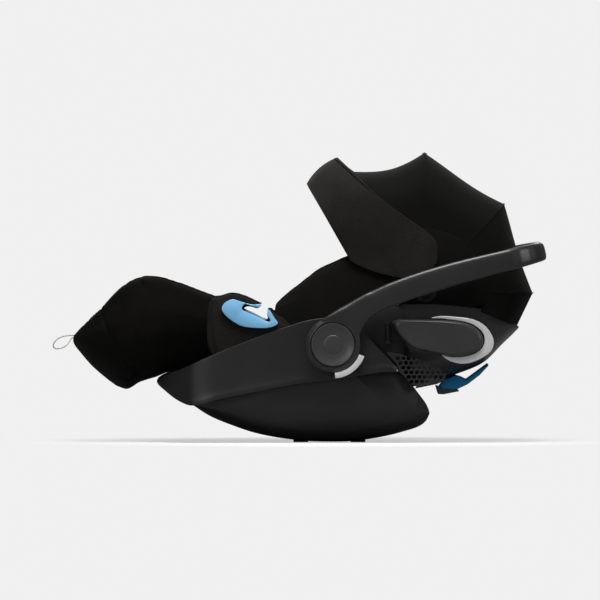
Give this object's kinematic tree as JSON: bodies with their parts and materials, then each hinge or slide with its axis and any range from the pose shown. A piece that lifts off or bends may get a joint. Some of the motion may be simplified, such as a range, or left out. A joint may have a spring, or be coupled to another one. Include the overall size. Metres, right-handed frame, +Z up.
{
  "type": "infant car seat",
  "caption": "Lie-flat infant car seat: rocker base, reclining backrest, leg rest, folding sun canopy, swinging carrying handle and belt guides.",
  "frame": {"origin": "on the floor, under the axis of the handle's hubs, midway across", "axes": "+X to the head end, +Y to the left side, +Z up"},
  "size_m": [0.8643, 0.436, 0.506],
  "materials": {
    "shell_plastic": "fine moulded texture",
    "gloss_shell": "satin gloss",
    "dark_plastic": "moulded",
    "black_cloth": "woven polyester",
    "charcoal_cloth": "woven melange",
    "light_blue": "satin",
    "deep_blue": "satin",
    "silver": "metallised satin",
    "red": "moulded",
    "steel": "zinc plated",
    "rubber": "moulded",
    "foam": "expanded bead foam",
    "elastic": "braided elastic"
  },
  "bodies": {
    "base": {"base_shell": "shell_plastic", "rocker_shell": "shell_plastic", "rocker_pads": "rubber", "hub_flange_left": "shell_plastic", "hub_flange_right": "shell_plastic", "recline_bushes": "dark_plastic", "seat_liner": "foam", "seat_cushion": "black_cloth", "leg_rail": "dark_plastic", "side_cover_left": "charcoal_cloth", "side_cover_right": "charcoal_cloth", "lap_guide_left": "light_blue", "lap_guide_right": "light_blue", "crotch_strap": "black_cloth", "buckle": "dark_plastic", "hip_straps": "black_cloth", "adjuster_housing": "dark_plastic", "shell_screws": "steel"},
    "buckle_button": {"buckle_button": "red"},
    "adjuster_button": {"adjuster_button": "dark_plastic"},
    "backrest": {"backrest_shell": "gloss_shell", "recline_arms": "dark_plastic", "vents": "dark_plastic", "backrest_liner": "black_cloth", "wing_left": "black_cloth", "wing_right": "black_cloth", "rear_guide": "deep_blue", "guide_foot": "dark_plastic", "canopy_brackets": "dark_plastic", "canopy_rear": "black_cloth", "canopy_rib_3": "dark_plastic", "gussets": "black_cloth", "pod_hinges": "dark_plastic", "lever_lugs": "dark_plastic", "shoulder_straps": "black_cloth"},
    "pod_left": {"pod_left": "gloss_shell", "pod_leaf_left": "dark_plastic", "pod_trim_left": "silver"},
    "pod_right": {"pod_right": "gloss_shell", "pod_leaf_right": "dark_plastic", "pod_trim_right": "silver"},
    "headrest": {"headrest": "black_cloth"},
    "headrest_lever": {"headrest_lever": "steel"},
    "recline_lever": {"recline_lever": "dark_plastic"},
    "middle_rib": {"canopy_rib_2": "dark_plastic", "cloth_rear": "black_cloth"},
    "front_rib": {"canopy_rib_1": "dark_plastic", "cloth_middle": "black_cloth"},
    "visor": {"canopy_visor": "charcoal_cloth", "cloth_front": "black_cloth"},
    "handle": {"handle_frame": "shell_plastic", "hub_ring_left": "shell_plastic", "hub_ring_right": "shell_plastic"},
    "hub_button_left": {"hub_button_left": "gloss_shell"},
    "hub_button_right": {"hub_button_right": "gloss_shell"},
    "release_lever_left": {"release_lever_left": "silver"},
    "release_lever_right": {"release_lever_right": "silver"},
    "leg_rest": {"leg_rest": "black_cloth", "pull_loop": "elastic"}
  },
  "joints": [
    {"name": "recline", "type": "hinge", "parent": "base", "child": "backrest", "pos_m": [0, 0, 0.172], "axis": [0, -1, 0], "range_deg": [0, 22], "deforming": ["shoulder_straps"]},
    {"name": "leg_rest_slide", "type": "slide", "parent": "base", "child": "leg_rest", "axis": [1, 0, 0], "range_m": [0, 0.038]},
    {"name": "handle_swing", "type": "hinge", "parent": "base", "child": "handle", "pos_m": [0, 0, 0.172], "axis": [0, -1, 0], "range_deg": [0, 112]},
    {"name": "hub_button_left", "type": "slide", "parent": "handle", "child": "hub_button_left", "axis": [0, -1, 0], "range_m": [0, 0.003], "stiffness_N_per_m": 1500, "springref_m": -0.001},
    {"name": "hub_button_right", "type": "slide", "parent": "handle", "child": "hub_button_right", "axis": [0, 1, 0], "range_m": [0, 0.003], "stiffness_N_per_m": 1500, "springref_m": -0.001},
    {"name": "release_lever_left", "type": "hinge", "parent": "base", "child": "release_lever_left", "pos_m": [0, 0, 0.172], "axis": [0, -1, 0], "range_deg": [0, 10], "stiffness_Nm_per_rad": 2, "springref_deg": -2.86},
    {"name": "release_lever_right", "type": "hinge", "parent": "base", "child": "release_lever_right", "pos_m": [0, 0, 0.172], "axis": [0, -1, 0], "range_deg": [0, 10], "stiffness_Nm_per_rad": 2, "springref_deg": -2.86},
    {"name": "buckle_button", "type": "slide", "parent": "base", "child": "buckle_button", "axis": [-0.2079, 0, -0.9781], "range_m": [0, 0.003], "stiffness_N_per_m": 800, "springref_m": -0.001},
    {"name": "adjuster_button", "type": "slide", "parent": "base", "child": "adjuster_button", "axis": [0, 0, -1], "range_m": [0, 0.0025], "stiffness_N_per_m": 500, "springref_m": -0.001},
    {"name": "pod_left_swing", "type": "hinge", "parent": "backrest", "child": "pod_left", "pos_m": [0.096, 0.1703, 0.192], "axis": [0, 0, 1], "range_deg": [0, 25]},
    {"name": "pod_right_swing", "type": "hinge", "parent": "backrest", "child": "pod_right", "pos_m": [0.096, -0.1703, 0.192], "axis": [0, 0, -1], "range_deg": [0, 25]},
    {"name": "headrest_height", "type": "slide", "parent": "backrest", "child": "headrest", "axis": [-1, 0, 0], "range_m": [0, 0.04]},
    {"name": "headrest_lever_squeeze", "type": "hinge", "parent": "headrest", "child": "headrest_lever", "pos_m": [0.258, 0, 0.228], "axis": [0, 1, 0], "range_deg": [0, 12], "stiffness_Nm_per_rad": 1, "springref_deg": -2.86},
    {"name": "recline_lever_lift", "type": "hinge", "parent": "backrest", "child": "recline_lever", "pos_m": [0.303, 0, 0.199], "axis": [0, -1, 0], "range_deg": [0, 15], "stiffness_Nm_per_rad": 1, "springref_deg": -2.86},
    {"name": "canopy_fold", "type": "hinge", "parent": "backrest", "child": "middle_rib", "pos_m": [0.161, 0, 0.267], "axis": [0, 1, 0], "range_deg": [0, 16], "deforming": ["cloth_rear"]},
    {"name": "front_rib_fold", "type": "hinge", "parent": "middle_rib", "child": "front_rib", "pos_m": [0.161, 0, 0.267], "axis": [0, 1, 0], "range_deg": [0, 34], "deforming": ["cloth_middle"]},
    {"name": "visor_fold", "type": "hinge", "parent": "front_rib", "child": "visor", "pos_m": [0.161, 0, 0.267], "axis": [0, 1, 0], "range_deg": [0, 24], "deforming": ["cloth_front"]}
  ],
  "couplings": [
    {"joint": "leg_rest_slide", "follows": "recline", "m_per_rad": 0.09887},
    {"joint": "front_rib_fold", "follows": "canopy_fold", "ratio": 2.12},
    {"joint": "visor_fold", "follows": "canopy_fold", "ratio": 1.49}
  ]
}
